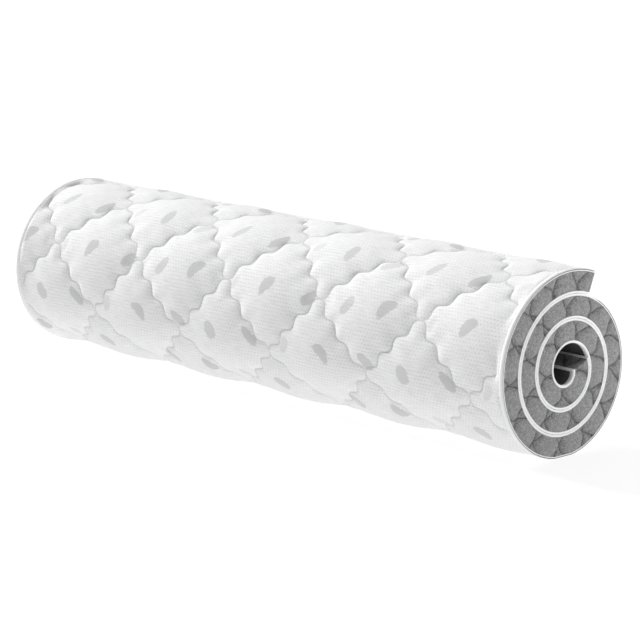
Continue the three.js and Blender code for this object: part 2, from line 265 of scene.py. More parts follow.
body = make_piece("filled_body", np.concatenate([body_places] + bed_places), body_faces,
                  np.concatenate([body_cut, np.zeros((2 * bed_count, 2))]),
                  np.concatenate([seam, np.zeros(2 * bed_count)]))
finish_surface(body, sharp_degrees=50)

# A mix node's colour sockets share their names with others, so they go by number.
COLOUR_A = 6
COLOUR_B = 7
MIXED = 2

# Polyester knit, brushed, in mid grey: matt and mottled, with painted shade where the thread draws it into
# creases.
MOTTLE_SIZE = 9 * MM
FIBRE_SIZE = 3.2 * MM                  # tufts of fibre, drawn as coarse as they need to show
grey_knit = bpy.data.materials.new("brushed_grey_knit")
grey_knit.use_nodes = True
tree = grey_knit.node_tree
shader = tree.nodes["Principled BSDF"]
cut = add(tree, "ShaderNodeUVMap", uv_map="cut").outputs["UV"]
mottle = add(tree, "ShaderNodeTexNoise",
             {"Vector": cut, "Scale": 1 / MOTTLE_SIZE, "Detail": 3, "Roughness": 0.7})
fibre = add(tree, "ShaderNodeTexNoise", {"Vector": cut, "Scale": 1 / FIBRE_SIZE, "Detail": 1})
pile = add(tree, "ShaderNodeMath", {0: mottle, 1: fibre}, operation="ADD")
pile = add(tree, "ShaderNodeMath", {0: pile, 1: 0.5}, operation="MULTIPLY")
grain = add(tree, "ShaderNodeMapRange", {"Value": pile, "From Min": 0.33, "From Max": 0.67})
tint = add(tree, "ShaderNodeMix",
           {"Factor": grain, COLOUR_A: linear("#6c6c6d"), COLOUR_B: linear("#a8a8a8")}, data_type="RGBA")
# Darker along the seams: painted shade in the creases that the stitching draws in.
stitch_and_crease_shade = add(tree, "ShaderNodeAttribute", attribute_name="seam").outputs["Fac"]
stitch_and_crease_shaded = add(tree, "ShaderNodeMix",
              {"Factor": stitch_and_crease_shade, COLOUR_A: tint.outputs[MIXED], COLOUR_B: linear("#2e2e2e")},
              data_type="RGBA")
tree.links.new(stitch_and_crease_shaded.outputs[MIXED], shader.inputs["Base Color"])
relief = add(tree, "ShaderNodeBump", {"Height": pile, "Distance": 1.6 * MM, "Strength": 0.8})
tree.links.new(relief.outputs["Normal"], shader.inputs["Normal"])
shader.inputs["Roughness"].default_value = 0.95
shader.inputs["Specular IOR Level"].default_value = 0.25
shader.inputs["Sheen Weight"].default_value = 0.15
body.data.materials.append(grey_knit)
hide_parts("filled_body_with_border")
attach(body, "root")

# The bottom panel, a plain knit sheet sewn under the filling, coloured dark grey as painted shade.
# It faces inwards, so it shows only as the smooth lining of the eye, whose inside lies in shade.
BOTTOM_TOP = 45.8 * MM                 # depth of the side that lies on the filling
BOTTOM_THICKNESS = 3 * MM
BOTTOM_HALF = WIDTH / 2 - PANEL_INSET
INNER_END_INSET = 5.4 * MM             # its tape is folded over only this far across the inner end


def end_wound(inset, depth):
    """The wound angle at a distance from the inner end, on its slant."""
    angle = WOUND + INNER_END_SLANT * (0.5 - depth / THICKNESS)
    return angle - inset / (OUTER_RADIUS - PITCH * angle / TURN - depth)


rows, wide = 400, 17
middle = BOTTOM_TOP + BOTTOM_THICKNESS / 2
columns = np.linspace(-BOTTOM_HALF, BOTTOM_HALF, wide)
angles = np.linspace(wound_angle(PANEL_INSET, middle), end_wound(INNER_END_INSET, middle), rows)
sheet_x, sheet_wound = (g.ravel() for g in np.meshgrid(columns, angles))
places, layout = [], []
for sheet_depth in (BOTTOM_TOP, BOTTOM_TOP + BOTTOM_THICKNESS):
    places.append(roll_up(sheet_x, sheet_wound, sheet_depth))
    layout.append(np.stack([sheet_x, arc_length(sheet_wound, middle)], axis=1))
lower = rows * wide                    # number of the lower side's first place
faces = []
for j in range(rows - 1):
    for i in range(wide - 1):
        a = j * wide + i
        faces.append((a, a + 1, a + 1 + wide, a + wide))
        faces.append(tuple(lower + k for k in (a + wide, a + 1 + wide, a + 1, a)))
grid = np.arange(lower).reshape(rows, wide)
rim = np.concatenate([grid[0], grid[1:, -1], grid[-1, -2::-1], grid[-2:0:-1, 0]]).tolist()
for a, b in zip(rim, rim[1:] + rim[:1]):
    faces.append((b, a, lower + a, lower + b))
bottom = make_piece("bottom_panel_sheet", np.concatenate(places), faces, np.concatenate(layout))
finish_surface(bottom, sharp_degrees=50)

# Polyester knit, plain: matt, with a fine even rib, and dark grey as painted shade for the eye's dim inside.
RIB_SPACING = 2.4 * MM
WAVE_SCALE = TURN / 20                 # the scale at which a wave texture repeats once in a unit
FLECK_SIZE = 3 * MM
plain_knit = bpy.data.materials.new("plain_knit_in_painted_shade")
plain_knit.use_nodes = True
tree = plain_knit.node_tree
shader = tree.nodes["Principled BSDF"]
cut = add(tree, "ShaderNodeUVMap", uv_map="cut").outputs["UV"]
rib = add(tree, "ShaderNodeTexWave", {"Vector": cut, "Scale": WAVE_SCALE / RIB_SPACING, "Distortion": 0.4})
flecks = add(tree, "ShaderNodeTexNoise", {"Vector": cut, "Scale": 1 / FLECK_SIZE, "Detail": 2})
# These dark greys are painted shade: the lining looks dark because the eye lies in shade.
tint = add(tree, "ShaderNodeMix",
           {"Factor": flecks, COLOUR_A: linear("#4e4e4e"), COLOUR_B: linear("#626262")}, data_type="RGBA")
tree.links.new(tint.outputs[MIXED], shader.inputs["Base Color"])
relief = add(tree, "ShaderNodeBump", {"Height": rib.outputs["Fac"], "Distance": 0.4 * MM, "Strength": 0.4})
tree.links.new(relief.outputs["Normal"], shader.inputs["Normal"])
shader.inputs["Roughness"].default_value = 0.9
shader.inputs["Specular IOR Level"].default_value = 0.3
bottom.data.materials.append(plain_knit)
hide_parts("bottom_panel")
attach(bottom, "root")

# The top panel, white knit quilted over wadding in wavy seams that cross in diamonds.
# It is stitched flat, cut to size, bound by the tape, and then wound with the mattress, so it faces outwards.
PANEL_DEPTH = 4.2 * MM                 # its thickness where it is pressed smooth
PANEL_HALF = WIDTH / 2 - PANEL_INSET
DIAMOND_ALONG = 303 * MM
DIAMOND_AROUND = 295 * MM
CROSSING_X = -62 * MM
CROSSING_ARC = 306 * MM
WAVES = 7                              # half waves along one side of a diamond
SWING = 7 * MM                         # how far a seam swings to each side of its straight line
CROWN = 3.9 * MM                       # how far a pillow's middle stands above the tape
SEAM_DEPTH = 7.4 * MM                  # and how far its seams are drawn in
EDGE_SHARE = 0.22                      # the part of the rise that comes close to the stitches
EDGE_WIDTH = 8 * MM
ROUNDNESS = 0.8                        # the power that shapes the rest
STITCH_WIDTH = 1.2 * MM
CELLS = 44                             # cells along one side of a diamond
CROWDING = 0.45                        # how much closer together the cells stand near the seams
DIAMONDS_EACH_WAY = 6
DIAMOND_SIDE = math.hypot(DIAMOND_ALONG, DIAMOND_AROUND) / 2

even = np.arange(CELLS) / CELLS
crowded = 0.5 - 0.5 * np.cos(math.pi * even)
shares = (1 - CROWDING) * even + CROWDING * crowded
lines = np.concatenate([n + shares for n in range(-DIAMONDS_EACH_WAY, DIAMONDS_EACH_WAY + 1)])
u, v = (g.ravel() for g in np.meshgrid(lines, lines, indexing="ij"))


def seam_side(w):
    """Goes evenly from 1 on an even seam to -1 on an odd one, as neighbouring seams swing opposite ways."""
    return np.where(np.floor(w) % 2 == 0, 1, -1) * (1 - 2 * (w - np.floor(w)))


def seam_gap(w):
    """About how far a place is from the nearest seam of one family, levelling off in a pillow's middle."""
    return DIAMOND_SIDE / math.pi * np.abs(np.sin(math.pi * w))


wave_u = SWING / DIAMOND_SIDE * seam_side(u) * np.sin(WAVES * math.pi * v)
wave_v = SWING / DIAMOND_SIDE * seam_side(v) * np.sin(WAVES * math.pi * u)
quilt_x = CROSSING_X + DIAMOND_ALONG * (u + wave_u + v + wave_v) / 2
quilt_arc = CROSSING_ARC + DIAMOND_AROUND * (u + wave_u - v - wave_v) / 2


def pillow(w):
    """A pillow's rise across one family of seams: sharp at the stitches, then round up to its middle."""
    edge = 1 - np.exp(-seam_gap(w) / EDGE_WIDTH)
    return EDGE_SHARE * edge + (1 - EDGE_SHARE) * np.abs(np.sin(math.pi * w)) ** ROUNDNESS


puff = pillow(u) * pillow(v)
# Nearness to the seams, by which shade is painted into the stitched creases.
stitch_line_and_shade = np.exp(-np.minimum(seam_gap(u), seam_gap(v)) / STITCH_WIDTH)

# The quilted cloth is trimmed to the outer turn, on which alone its pillows stand free.
TRIM_MARGIN = 12 * MM                  # whole cells are kept this far beyond the cut before it is made
TRIM_SLACK = 0.3 * MM                  # places this near to the cut are moved onto it
END_ROUNDING = 5 * MM                  # over which the pillows come down to the tape along the ends
count = len(lines)
on_panel = ((np.abs(quilt_x) < PANEL_HALF + TRIM_MARGIN) & (quilt_arc > flap_arc - TRIM_MARGIN)
            & (quilt_arc < full_turn_arc + TRIM_MARGIN)).reshape(count, count)
whole = on_panel[:-1, :-1] & on_panel[1:, :-1] & on_panel[1:, 1:] & on_panel[:-1, 1:]
cell_i, cell_j = np.nonzero(whole)
quads = np.stack([cell_i * count + cell_j, cell_i * count + cell_j + 1,
                  (cell_i + 1) * count + cell_j + 1, (cell_i + 1) * count + cell_j], axis=1)
used, quads = np.unique(quads, return_inverse=True)
quads = quads.reshape(-1, 4)
cloth = bpy.data.meshes.new("quilted_cloth")
flat = np.stack([quilt_x, quilt_arc, 0 * quilt_x], axis=1)[used]
cloth.from_pydata(flat.tolist(), [], quads.tolist())
cloth.attributes.new("puff", "FLOAT", "POINT").data.foreach_set("value", puff[used].astype(np.float32))
cloth.attributes.new("seam", "FLOAT", "POINT").data.foreach_set("value", stitch_line_and_shade[used].astype(np.float32))
bm = bmesh.new()
bm.from_mesh(cloth)
for place, outwards in (((PANEL_HALF, 0, 0), (1, 0, 0)), ((-PANEL_HALF, 0, 0), (-1, 0, 0)),
                        ((0, full_turn_arc, 0), (0, 1, 0)), ((0, flap_arc, 0), (0, -1, 0))):
    bmesh.ops.bisect_plane(bm, geom=bm.verts[:] + bm.edges[:] + bm.faces[:], dist=TRIM_SLACK, plane_co=place,
                           plane_no=outwards, clear_outer=True)
bm.to_mesh(cloth)
bm.free()
flat = np.empty((len(cloth.vertices), 3), dtype=np.float32)
cloth.vertices.foreach_get("co", flat.ravel())
flat = flat.astype(float)
puff = np.empty(len(flat), dtype=np.float32)
cloth.attributes["puff"].data.foreach_get("value", puff)
stitch_line_and_shade = np.empty(len(flat), dtype=np.float32)
cloth.attributes["seam"].data.foreach_get("value", stitch_line_and_shade)
faces = [tuple(face.vertices) for face in cloth.polygons]
bpy.data.meshes.remove(cloth)
for axis, edge in ((0, -PANEL_HALF), (0, PANEL_HALF), (1, flap_arc), (1, full_turn_arc)):
    flat[np.abs(flat[:, axis] - edge) < TRIM_SLACK, axis] = edge
to_ends = PANEL_HALF - np.abs(flat[:, 0])
to_flap = flat[:, 1] - flap_arc
to_next_turn = full_turn_arc - flat[:, 1]
top_wound = wound_angle(flat[:, 1], 0)
free = quilted_share(top_wound)
fade = smooth_step(to_ends, BED_INSET) * free
raised = (CROWN + SEAM_DEPTH) * puff - SEAM_DEPTH
raised = raised * np.where(raised > 0, smooth_step(to_ends, END_ROUNDING) * free, fade)
top_places = roll_up(flat[:, 0], top_wound, -raised)

# Below and beyond it the panel is pressed smooth, so plain strips finish the sheet.
places, layout, stitch_lines_and_shade = [top_places], [flat[:, :2]], [stitch_line_and_shade * fade]
total = len(flat)                      # how many places there are so far
HIDDEN_ROWS = 240                      # rows of the outward side, from the next turn to the inner end
INWARD_ROWS = 360                      # rows of the inward side, from the flap to the inner end


def plain_row(angle, xs, depths):
    """Adds a row of places from -X to +X to a plain strip, and returns their numbers."""
    global total
    places.append(roll_up(np.array(xs), angle, np.array(depths)))
    layout.append([[x, arc_length(angle, 0)] for x in xs])
    stitch_lines_and_shade.append(np.zeros(len(xs)))
    total += len(xs)
    return list(range(total - len(xs), total))


def edge_row(distance, key):
    """The numbers of the trimmed cloth's places along one edge, in order."""
    found = np.nonzero(np.abs(distance) < 0.01 * MM)[0]
    return found[np.argsort(flat[found, key])].tolist()


def join_rows(first, first_at, second, second_at):
    """Fills the strip between two rows of places that run the same way with triangles."""
    a = b = 0
    while a < len(first) - 1 or b < len(second) - 1:
        if b == len(second) - 1 or (a < len(first) - 1 and first_at[a + 1] <= second_at[b + 1]):
            faces.append((first[a], first[a + 1], second[b]))
            a += 1
        else:
            faces.append((first[a], second[b + 1], second[b]))
            b += 1


last_angle = end_wound(PANEL_INSET, PANEL_DEPTH / 2)
hidden_angles = np.linspace(TURN, last_angle, HIDDEN_ROWS)
inward_angles = np.linspace(wound_angle(PANEL_INSET, 0), last_angle, INWARD_ROWS)
hidden = [plain_row(angle, (-PANEL_HALF, PANEL_HALF), (0, 0)) for angle in hidden_angles[1:]]
inward = []
for angle in inward_angles:
    bed_level = PANEL_DEPTH + QUILT_BED * float(quilted_share(angle))
    inward.append(plain_row(angle, (-PANEL_HALF, -bed_x, bed_x, PANEL_HALF),
                            (PANEL_DEPTH, bed_level, bed_level, PANEL_DEPTH)))
last = edge_row(to_next_turn, 0)
join_rows(hidden[0], [-PANEL_HALF, PANEL_HALF], last, flat[last, 0])
for a, b in zip(hidden, hidden[1:]):
    faces.append((a[0], a[1], b[1], b[0]))
for a, b in zip(inward, inward[1:]):
    faces += [(a[i + 1], a[i], b[i], b[i + 1]) for i in range(3)]
for side, distance in ((0, flat[:, 0] + PANEL_HALF), (-1, PANEL_HALF - flat[:, 0])):
    edge = edge_row(distance, 1)
    join_rows(edge + [row[side] for row in hidden], list(top_wound[edge]) + list(hidden_angles[1:]),
              [row[side] for row in inward], inward_angles)
first = edge_row(to_flap, 0)
join_rows(first, flat[first, 0], inward[0], [-PANEL_HALF, -bed_x, bed_x, PANEL_HALF])
faces.append([hidden[-1][0], hidden[-1][1]] + inward[-1][::-1])
top = make_piece("quilted_panel", np.concatenate(places), faces, np.concatenate(layout),
                 np.concatenate(stitch_lines_and_shade))
finish_surface(top, sharp_degrees=60)

# Polyester jacquard knit: matt white, dotted with rows of small tucks, with pale grey petals knitted in.
quilt_knit = bpy.data.materials.new("dotted_jacquard_knit")
quilt_knit.use_nodes = True
tree = quilt_knit.node_tree
shader = tree.nodes["Principled BSDF"]
cut = add(tree, "ShaderNodeUVMap", uv_map="cut").outputs["UV"]
split = add(tree, "ShaderNodeSeparateXYZ", {"Vector": cut})

# Petals stand in staggered rows of five kinds. Two rows lean one way and the next two mostly the other way.
PETAL_SPACING = 121.6 * MM
PETAL_ROW = 122.7 * MM
FIRST_PETAL_X = -36 * MM
FIRST_PETAL_ARC = 306 * MM
STAGGER = 0.45                         # every other row is shifted by this share of the spacing
KINDS = 5
CHART_ROWS = 4
BOW = 1.6                              # how strongly the chart's bend curves a petal, in half widths
BOW_MIDDLE = 0.35                      # the middle of a bent petal moves by this share the other way
NARROWEST = 0.2                        # a tapering petal's least share of its width
BLUNTNESS = 2.4                        # the power that rounds a petal's ends
RAGGED_SIZE = 12 * MM
RAGGEDNESS = 0.6
COURSE_SPACING = 2.4 * MM
COURSE_LENGTH = 26 * MM
COMBING = 0.9
PETAL_EDGE = (2.0, 1.52)               # the reach at which a petal begins and at which it has its full tone
petal_chart = [
    # place off the row's even spacing and half sizes in mm, turn in degrees from +X towards the winding,
    # bend of its ends towards or away from the winding, share by which one end is narrower, and shade
    dict(along=8, around=2, turn=-75, long=19, wide=9, bend=0.0, taper=0.1, shade=0.45),
    dict(along=-9, around=-4, turn=-48, long=26, wide=14, bend=-0.25, taper=0.1, shade=1.0),
    dict(along=0, around=5, turn=-40, long=22, wide=13, bend=0.1, taper=0.0, shade=1.0),
    dict(along=4, around=2, turn=-53, long=25, wide=13, bend=0.1, taper=0.0, shade=0.85),
    dict(along=-4, around=-8, turn=-42, long=28, wide=14, bend=-0.35, taper=-0.1, shade=0.95),
    dict(along=-3, around=0, turn=60, long=22, wide=17, bend=0.0, taper=0.1, shade=0.9),
    dict(along=1, around=-5, turn=46, long=27, wide=12, bend=0.0, taper=0.1, shade=1.0),
    dict(along=-7, around=-2, turn=-60, long=22, wide=12, bend=0.1, taper=0.2, shade=0.55),
    dict(along=-7, around=-7, turn=38, long=26, wide=13, bend=-0.4, taper=0.1, shade=0.95),
    dict(along=2, around=-8, turn=34, long=25, wide=14, bend=0.1, taper=0.1, shade=0.9),
    dict(along=5, around=-12, turn=30, long=19, wide=11, bend=0.0, taper=0.0, shade=0.5),
    dict(along=4, around=-10, turn=32, long=23, wide=14, bend=-0.2, taper=0.0, shade=0.9),
    dict(along=0, around=0, turn=35, long=20, wide=10, bend=0.0, taper=0.0, shade=0.2),
    dict(along=-5, around=-6, turn=36, long=24, wide=15, bend=0.0, taper=0.0, shade=0.9),
    dict(along=3, around=-9, turn=34, long=23, wide=15, bend=0.2, taper=0.0, shade=1.0),
    dict(along=-3, around=0, turn=-52, long=26, wide=11, bend=0.0, taper=0.0, shade=0.8),
    dict(along=1, around=4, turn=-52, long=27, wide=13, bend=0.1, taper=0.0, shade=1.0),
    dict(along=3, around=-2, turn=-50, long=18, wide=11, bend=0.0, taper=0.0, shade=0.45),
    dict(along=-12, around=1, turn=-84, long=23, wide=14, bend=0.0, taper=0.0, shade=0.8),
    dict(along=-7, around=7, turn=-35, long=29, wide=13, bend=0.0, taper=0.0, shade=0.5),
]
in_row = add(tree, "ShaderNodeMath", {0: split.outputs["Y"], 1: FIRST_PETAL_ARC}, operation="SUBTRACT")
in_row = add(tree, "ShaderNodeMath", {0: in_row, 1: PETAL_ROW}, operation="DIVIDE")
row = add(tree, "ShaderNodeMath", {0: in_row}, operation="ROUND")
odd = add(tree, "ShaderNodeMath", {0: row, 1: 2}, operation="FLOORED_MODULO")
in_column = add(tree, "ShaderNodeMath", {0: split.outputs["X"], 1: FIRST_PETAL_X}, operation="SUBTRACT")
in_column = add(tree, "ShaderNodeMath", {0: in_column, 1: PETAL_SPACING}, operation="DIVIDE")
in_column = add(tree, "ShaderNodeMath", {0: odd, 1: STAGGER, 2: in_column}, operation="MULTIPLY_ADD")
column = add(tree, "ShaderNodeMath", {0: in_column}, operation="ROUND")
kind = add(tree, "ShaderNodeMath", {0: column, 1: KINDS}, operation="FLOORED_MODULO")
chart_row = add(tree, "ShaderNodeMath", {0: row, 1: CHART_ROWS}, operation="FLOORED_MODULO")
position = add(tree, "ShaderNodeMath", {0: chart_row, 1: KINDS, 2: kind}, operation="MULTIPLY_ADD")
position = add(tree, "ShaderNodeMath", {0: position, 1: 0.5}, operation="ADD")
position = add(tree, "ShaderNodeMath", {0: position, 1: len(petal_chart)}, operation="DIVIDE")
# A constant colour ramp looks up three of the chart's columns at once, each brought from its range to 0 to 1.
charted = {}
for ranges in ((("turn", -90, 90), ("long", 0, 40), ("wide", 0, 40)),
               (("bend", -1, 1), ("taper", -1, 1), ("shade", 0, 1)),
               (("along", -20, 20), ("around", -20, 20))):
    ramp = add(tree, "ShaderNodeValToRGB", {"Fac": position})
    ramp.color_ramp.interpolation = "CONSTANT"
    ramp.color_ramp.elements.remove(ramp.color_ramp.elements[1])
    for k, petal in enumerate(petal_chart):
        stop = ramp.color_ramp.elements[0] if k == 0 else ramp.color_ramp.elements.new(k / len(petal_chart))
        scaled = [(petal[key] - low) / (high - low) for key, low, high in ranges]
        stop.color = scaled + [0] * (3 - len(scaled)) + [1]
    channels = add(tree, "ShaderNodeSeparateColor", {"Color": ramp.outputs["Color"]})
    for (key, low, high), channel in zip(ranges, ("Red", "Green", "Blue")):
        charted[key] = add(tree, "ShaderNodeMath", {0: channels.outputs[channel], 1: high - low, 2: low},
                           operation="MULTIPLY_ADD")
# A petal's own axes, in mm: lengthways along its turn and sideways across it.
off_x = add(tree, "ShaderNodeMath", {0: in_column, 1: column}, operation="SUBTRACT")
off_x = add(tree, "ShaderNodeMath", {0: off_x, 1: PETAL_SPACING / MM}, operation="MULTIPLY")
off_x = add(tree, "ShaderNodeMath", {0: off_x, 1: charted["along"]}, operation="SUBTRACT")
off_arc = add(tree, "ShaderNodeMath", {0: in_row, 1: row}, operation="SUBTRACT")
off_arc = add(tree, "ShaderNodeMath", {0: off_arc, 1: PETAL_ROW / MM}, operation="MULTIPLY")
off_arc = add(tree, "ShaderNodeMath", {0: off_arc, 1: charted["around"]}, operation="SUBTRACT")
offset = add(tree, "ShaderNodeCombineXYZ", {"X": off_x, "Y": off_arc})
turn = add(tree, "ShaderNodeMath", {0: charted["turn"]}, operation="RADIANS")
turned = add(tree, "ShaderNodeVectorRotate", {"Vector": offset, "Angle": turn},
             rotation_type="Z_AXIS", invert=True)
turned = add(tree, "ShaderNodeSeparateXYZ", {"Vector": turned})
lengthways = add(tree, "ShaderNodeMath", {0: turned.outputs["X"], 1: charted["long"]}, operation="DIVIDE")
sideways = add(tree, "ShaderNodeMath", {0: turned.outputs["Y"], 1: charted["wide"]}, operation="DIVIDE")
bow = add(tree, "ShaderNodeMath", {0: lengthways, 1: lengthways, 2: -BOW_MIDDLE}, operation="MULTIPLY_ADD")
bend = add(tree, "ShaderNodeMath", {0: charted["bend"], 1: BOW}, operation="MULTIPLY")
bowed = add(tree, "ShaderNodeMath", {0: bow, 1: bend, 2: sideways}, operation="MULTIPLY_ADD")
narrowed = add(tree, "ShaderNodeMath", {0: lengthways, 1: charted["taper"], 2: 1}, operation="MULTIPLY_ADD")
narrowed = add(tree, "ShaderNodeMath", {0: narrowed, 1: NARROWEST}, operation="MAXIMUM")
bowed = add(tree, "ShaderNodeMath", {0: bowed, 1: narrowed}, operation="DIVIDE")
ragged = add(tree, "ShaderNodeTexNoise", {"Vector": cut, "Scale": 1 / RAGGED_SIZE, "Detail": 1})
# Courses of thicker yarn run along the roll and comb the petals' edges.
course_place = add(tree, "ShaderNodeMapping",
                   {"Vector": cut, "Scale": (1 / COURSE_LENGTH, 1 / COURSE_SPACING, 1)})
courses = add(tree, "ShaderNodeTexNoise", {"Vector": course_place, "Scale": 1, "Detail": 1})
length_part = add(tree, "ShaderNodeMath", {0: lengthways}, operation="ABSOLUTE")
length_part = add(tree, "ShaderNodeMath", {0: length_part, 1: BLUNTNESS}, operation="POWER")
reach = add(tree, "ShaderNodeMath", {0: bowed, 1: bowed, 2: length_part}, operation="MULTIPLY_ADD")
reach = add(tree, "ShaderNodeMath", {0: ragged, 1: RAGGEDNESS, 2: reach}, operation="MULTIPLY_ADD")
reach = add(tree, "ShaderNodeMath", {0: courses, 1: COMBING, 2: reach}, operation="MULTIPLY_ADD")
inside_petal = add(tree, "ShaderNodeMapRange",
                   {"Value": reach, "From Min": PETAL_EDGE[0], "From Max": PETAL_EDGE[1]},
                   interpolation_type="SMOOTHSTEP")
petal_mask = add(tree, "ShaderNodeMath", {0: inside_petal, 1: charted["shade"]}, operation="MULTIPLY")

# Tucks are short dashes along the roll, and every other row of them is shifted by half.
TUCK_ALONG = 9.3 * MM
TUCK_AROUND = 8.2 * MM
TUCK_HALF_LENGTH = 2.9 * MM
TUCK_HALF_WIDTH = 1.5 * MM
PATCH_SIZE = 45 * MM                   # the tucks are deeper in some patches than in others
LOOP_SIZE = 1.8 * MM                   # the knit's loops, drawn as coarse as they need to show
tuck_row = add(tree, "ShaderNodeMath", {0: split.outputs["Y"], 1: TUCK_AROUND}, operation="DIVIDE")
tuck_number = add(tree, "ShaderNodeMath", {0: tuck_row}, operation="FLOOR")
tuck_shift = add(tree, "ShaderNodeMath", {0: tuck_number, 1: 2}, operation="FLOORED_MODULO")
tuck_column = add(tree, "ShaderNodeMath", {0: split.outputs["X"], 1: TUCK_ALONG}, operation="DIVIDE")
tuck_column = add(tree, "ShaderNodeMath", {0: tuck_shift, 1: 0.5, 2: tuck_column}, operation="MULTIPLY_ADD")
across = add(tree, "ShaderNodeMath", {0: tuck_column}, operation="FRACT")
across = add(tree, "ShaderNodeMath", {0: across, 1: 0.5}, operation="SUBTRACT")
across = add(tree, "ShaderNodeMath", {0: across, 1: TUCK_ALONG / TUCK_HALF_LENGTH}, operation="MULTIPLY")
down = add(tree, "ShaderNodeMath", {0: tuck_row}, operation="FRACT")
down = add(tree, "ShaderNodeMath", {0: down, 1: 0.5}, operation="SUBTRACT")
down = add(tree, "ShaderNodeMath", {0: down, 1: TUCK_AROUND / TUCK_HALF_WIDTH}, operation="MULTIPLY")
from_tuck = add(tree, "ShaderNodeMath", {0: down, 1: down}, operation="MULTIPLY")
from_tuck = add(tree, "ShaderNodeMath", {0: across, 1: across, 2: from_tuck}, operation="MULTIPLY_ADD")
tuck = add(tree, "ShaderNodeMapRange", {"Value": from_tuck, "From Min": 1.2, "From Max": 0.1},
           interpolation_type="SMOOTHSTEP")
patchy = add(tree, "ShaderNodeTexNoise", {"Vector": cut, "Scale": 1 / PATCH_SIZE, "Detail": 2})
tuck = add(tree, "ShaderNodeMath", {0: tuck, 1: patchy}, operation="MULTIPLY")
loops = add(tree, "ShaderNodeTexNoise", {"Vector": cut, "Scale": 1 / LOOP_SIZE, "Detail": 2})
yarn = add(tree, "ShaderNodeMath", {0: courses, 1: loops}, operation="ADD")
yarn = add(tree, "ShaderNodeMapRange", {"Value": yarn, "From Min": 0.72, "From Max": 1.28})

ground = add(tree, "ShaderNodeMix",
             {"Factor": yarn, COLOUR_A: linear("#e9e9ea"), COLOUR_B: linear("#fdfdfe")}, data_type="RGBA")
tint = ground.outputs[MIXED]
stitch_and_crease_shade = add(tree, "ShaderNodeAttribute", attribute_name="seam").outputs["Fac"]
# The last of these marks, grey along the quilting seams, is painted shade in their stitched creases.
for mask, strength, colour in ((tuck, 0.75, "#bebebf"), (petal_mask, 0.92, "#d2d2d3"),
                               (stitch_and_crease_shade, 0.6, "#b8b8b9")):
    share = add(tree, "ShaderNodeMath", {0: mask, 1: strength}, operation="MULTIPLY")
    tinted = add(tree, "ShaderNodeMix", {"Factor": share, COLOUR_A: tint, COLOUR_B: linear(colour)},
                 data_type="RGBA")
    tint = tinted.outputs[MIXED]
tree.links.new(tint, shader.inputs["Base Color"])
relief = add(tree, "ShaderNodeMath", {0: tuck, 1: -0.8, 2: yarn}, operation="MULTIPLY_ADD")
relief = add(tree, "ShaderNodeMath", {0: petal_mask, 1: -0.3, 2: relief}, operation="MULTIPLY_ADD")
relief = add(tree, "ShaderNodeBump", {"Height": relief, "Distance": 0.8 * MM, "Strength": 0.5})
tree.links.new(relief.outputs["Normal"], shader.inputs["Normal"])
shader.inputs["Roughness"].default_value = 0.88
shader.inputs["Specular IOR Level"].default_value = 0.3
shader.inputs["Sheen Weight"].default_value = 0.1
top.data.materials.append(quilt_knit)
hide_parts("quilted_top_panel")
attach(top, "root")

# The binding tapes, white woven tape folded over each panel's raw edge and stitched down all round. On the
# wound ends each shows as rounded folds, and the top one's groove opens where no turn lies on it.
TAPE_STEP = 6 * MM                     # between its places along each end of the roll
TAPE_WIDE_PLACES = 41                  # its places across the flap and across the inner end
tape_section = [
    # inset from the mattress's edge and depth below the tape's face, both in mm
    (12.0, 0.5), (11.6, 0.0), (9.0, -0.3), (6.0, -0.6), (3.6, -0.6), (1.8, -0.4), (0.7, -0.15),
    (0.4, 0.2), (1.0, 0.55), (2.8, 0.8), (3.0, 1.4), (2.2, 1.8), (0.6, 2.0),
    (0.1, 2.5), (0.0, 3.1), (0.2, 3.7), (0.8, 4.2), (1.8, 4.3), (12.0, 4.2),
]
GROOVE = (0.5, 1.9)                    # the section's points between these depths lie in the groove
CLOSED_GROOVE = 0.3                    # how deep it is inside the roll, as a share of its depth in the open
SWELL = 1.7                            # how much more the outer fold stands out where nothing lies on it
LAST_OPEN = 0.98 * TURN                # the angle from an end up to which no turn lies on the tape
OPENING = 0.3                          # the angle over which the folds close up
SHORT_FOLD = INNER_END_INSET / PANEL_INSET

# Cotton tape, woven in a fine herringbone: bright matt white, and shaded down in the groove of its folds.
HERRINGBONE = 2 * MM                   # the width of one row of the zigzag
TWILL_SPACING = 1.1 * MM
white_tape = bpy.data.materials.new("woven_cotton_tape")
white_tape.use_nodes = True
tree = white_tape.node_tree
shader = tree.nodes["Principled BSDF"]
cut = add(tree, "ShaderNodeUVMap", uv_map="cut").outputs["UV"]
split = add(tree, "ShaderNodeSeparateXYZ", {"Vector": cut})
zigzag = add(tree, "ShaderNodeMath", {0: split.outputs["Y"], 1: HERRINGBONE}, operation="PINGPONG")
twill = add(tree, "ShaderNodeMath", {0: split.outputs["X"], 1: zigzag}, operation="ADD")
twill = add(tree, "ShaderNodeMath", {0: twill, 1: TURN / TWILL_SPACING}, operation="MULTIPLY")
twill = add(tree, "ShaderNodeMath", {0: twill}, operation="SINE")
twill = add(tree, "ShaderNodeMath", {0: twill, 1: 0.15}, operation="MULTIPLY")
groove = add(tree, "ShaderNodeAttribute", attribute_name="seam").outputs["Fac"]
shaded = add(tree, "ShaderNodeMix",
             {"Factor": groove, COLOUR_A: linear("#f8f8f8"), COLOUR_B: linear("#8c8c8b")}, data_type="RGBA")
tree.links.new(shaded.outputs[MIXED], shader.inputs["Base Color"])
relief = add(tree, "ShaderNodeBump", {"Height": twill, "Distance": 0.4 * MM, "Strength": 0.5})
tree.links.new(relief.outputs["Normal"], shader.inputs["Normal"])
shader.inputs["Roughness"].default_value = 0.8
shader.inputs["Specular IOR Level"].default_value = 0.35

